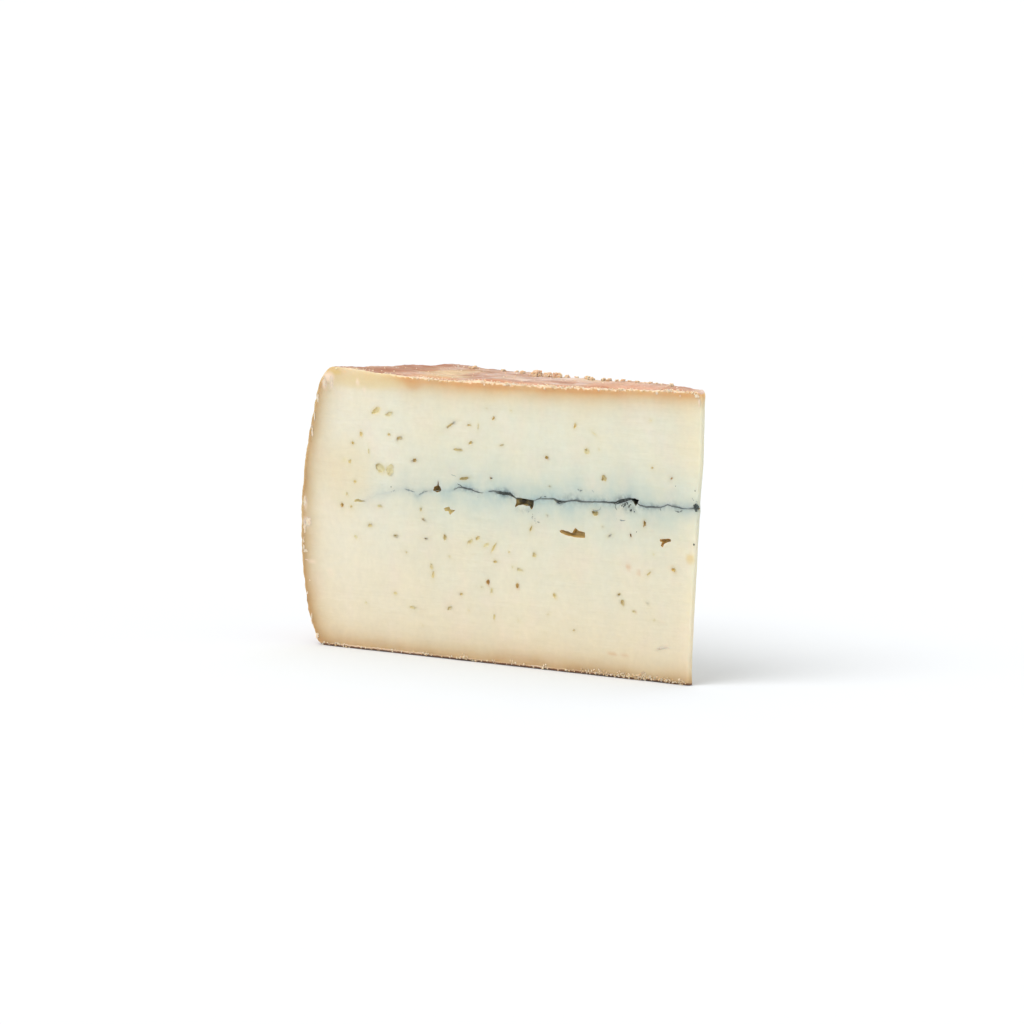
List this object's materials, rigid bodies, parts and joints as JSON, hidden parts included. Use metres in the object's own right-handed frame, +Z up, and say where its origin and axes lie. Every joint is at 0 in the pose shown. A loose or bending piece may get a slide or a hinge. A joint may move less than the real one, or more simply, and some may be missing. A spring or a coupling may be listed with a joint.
{
  "type": "semi-firm cheese wedge",
  "caption": "Tall narrow wedge of semi-firm cow's milk cheese with a washed rind on top, heel and base, small eyes and a thin dark ash line across the middle of its cut faces.",
  "frame": {"origin": "middle of the box round the wedge, at its foot, on the surface that it stands on", "axes": "+Z up, +X from the heel to the tip along the line halfway between the cut faces, -Y towards the cut face that the picture shows"},
  "size_m": [0.1588, 0.0476, 0.0821],
  "materials": {
    "paste": "ivory cheese paste, moist and satin where cut, with a dry orange-brown rind",
    "ash": "matt blue-grey vegetable ash"
  },
  "bodies": {
    "root": {"cheese_paste": "paste", "ash_layer": "ash"}
  },
  "joints": []
}
